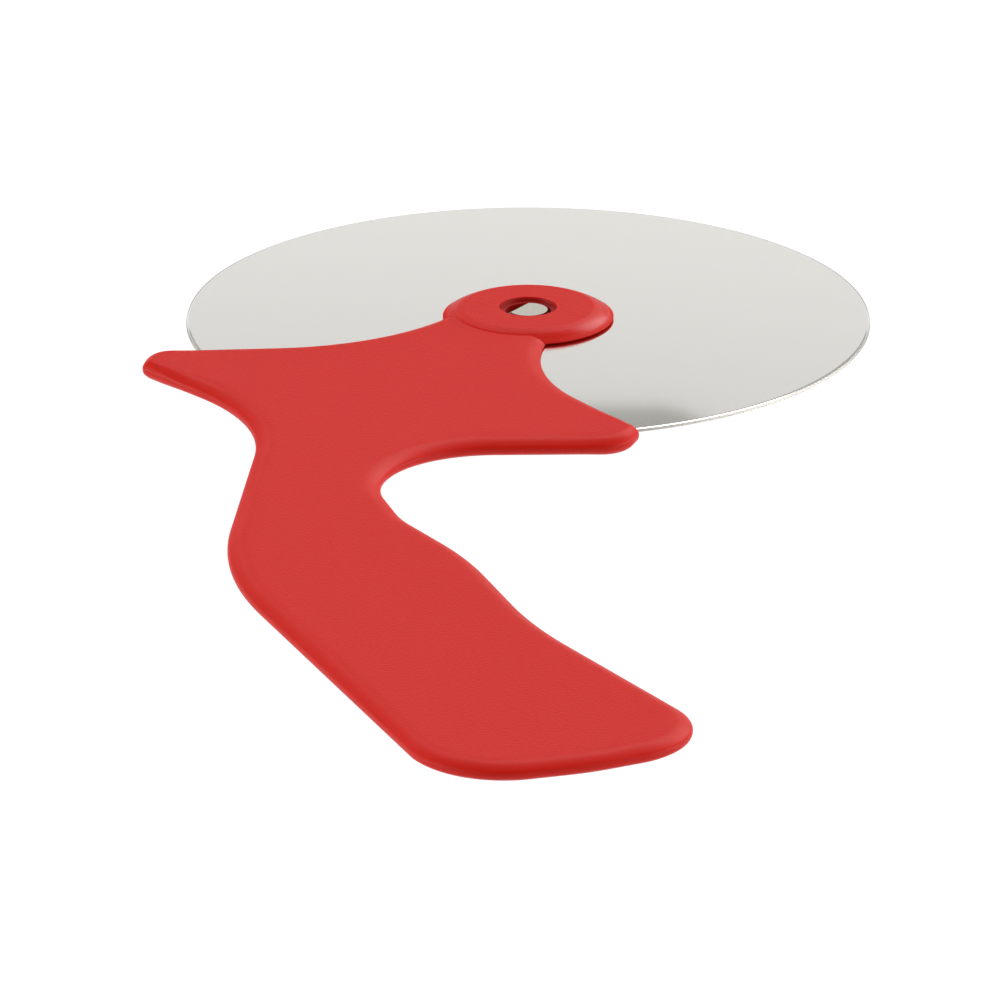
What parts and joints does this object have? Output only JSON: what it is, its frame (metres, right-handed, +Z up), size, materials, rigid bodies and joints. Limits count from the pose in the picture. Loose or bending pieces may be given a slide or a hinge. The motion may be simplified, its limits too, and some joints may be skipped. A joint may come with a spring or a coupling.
{
  "type": "pizza wheel",
  "caption": "Hand pizza wheel: a round steel blade turns on an axle in the boss of a flat, bent plastic handle with a horned guard and a broad grip.",
  "frame": {"origin": "on the axle, in the plane of the lower boss face that the tool lies on", "axes": "+Z up along the axle, +Y away from the grip towards the blade's far edge, +X to the finger side of the guard"},
  "size_m": [0.1059, 0.2319, 0.0042],
  "materials": {
    "handle_plastic": "fine moulded grain",
    "blade_steel": "satin, ground edge",
    "axle_steel": "plain cut bar",
    "washer_plastic": "punched sheet"
  },
  "bodies": {
    "handle": {"handle_upper_half": "handle_plastic", "handle_lower_half": "handle_plastic", "upper_washer": "washer_plastic", "lower_washer": "washer_plastic"},
    "wheel": {"blade": "blade_steel", "axle": "axle_steel"}
  },
  "joints": [
    {"name": "blade_spin", "type": "hinge", "parent": "handle", "child": "wheel", "pos_m": [0, 0, 0.0021], "axis": [0, 0, 1], "continuous": true}
  ]
}
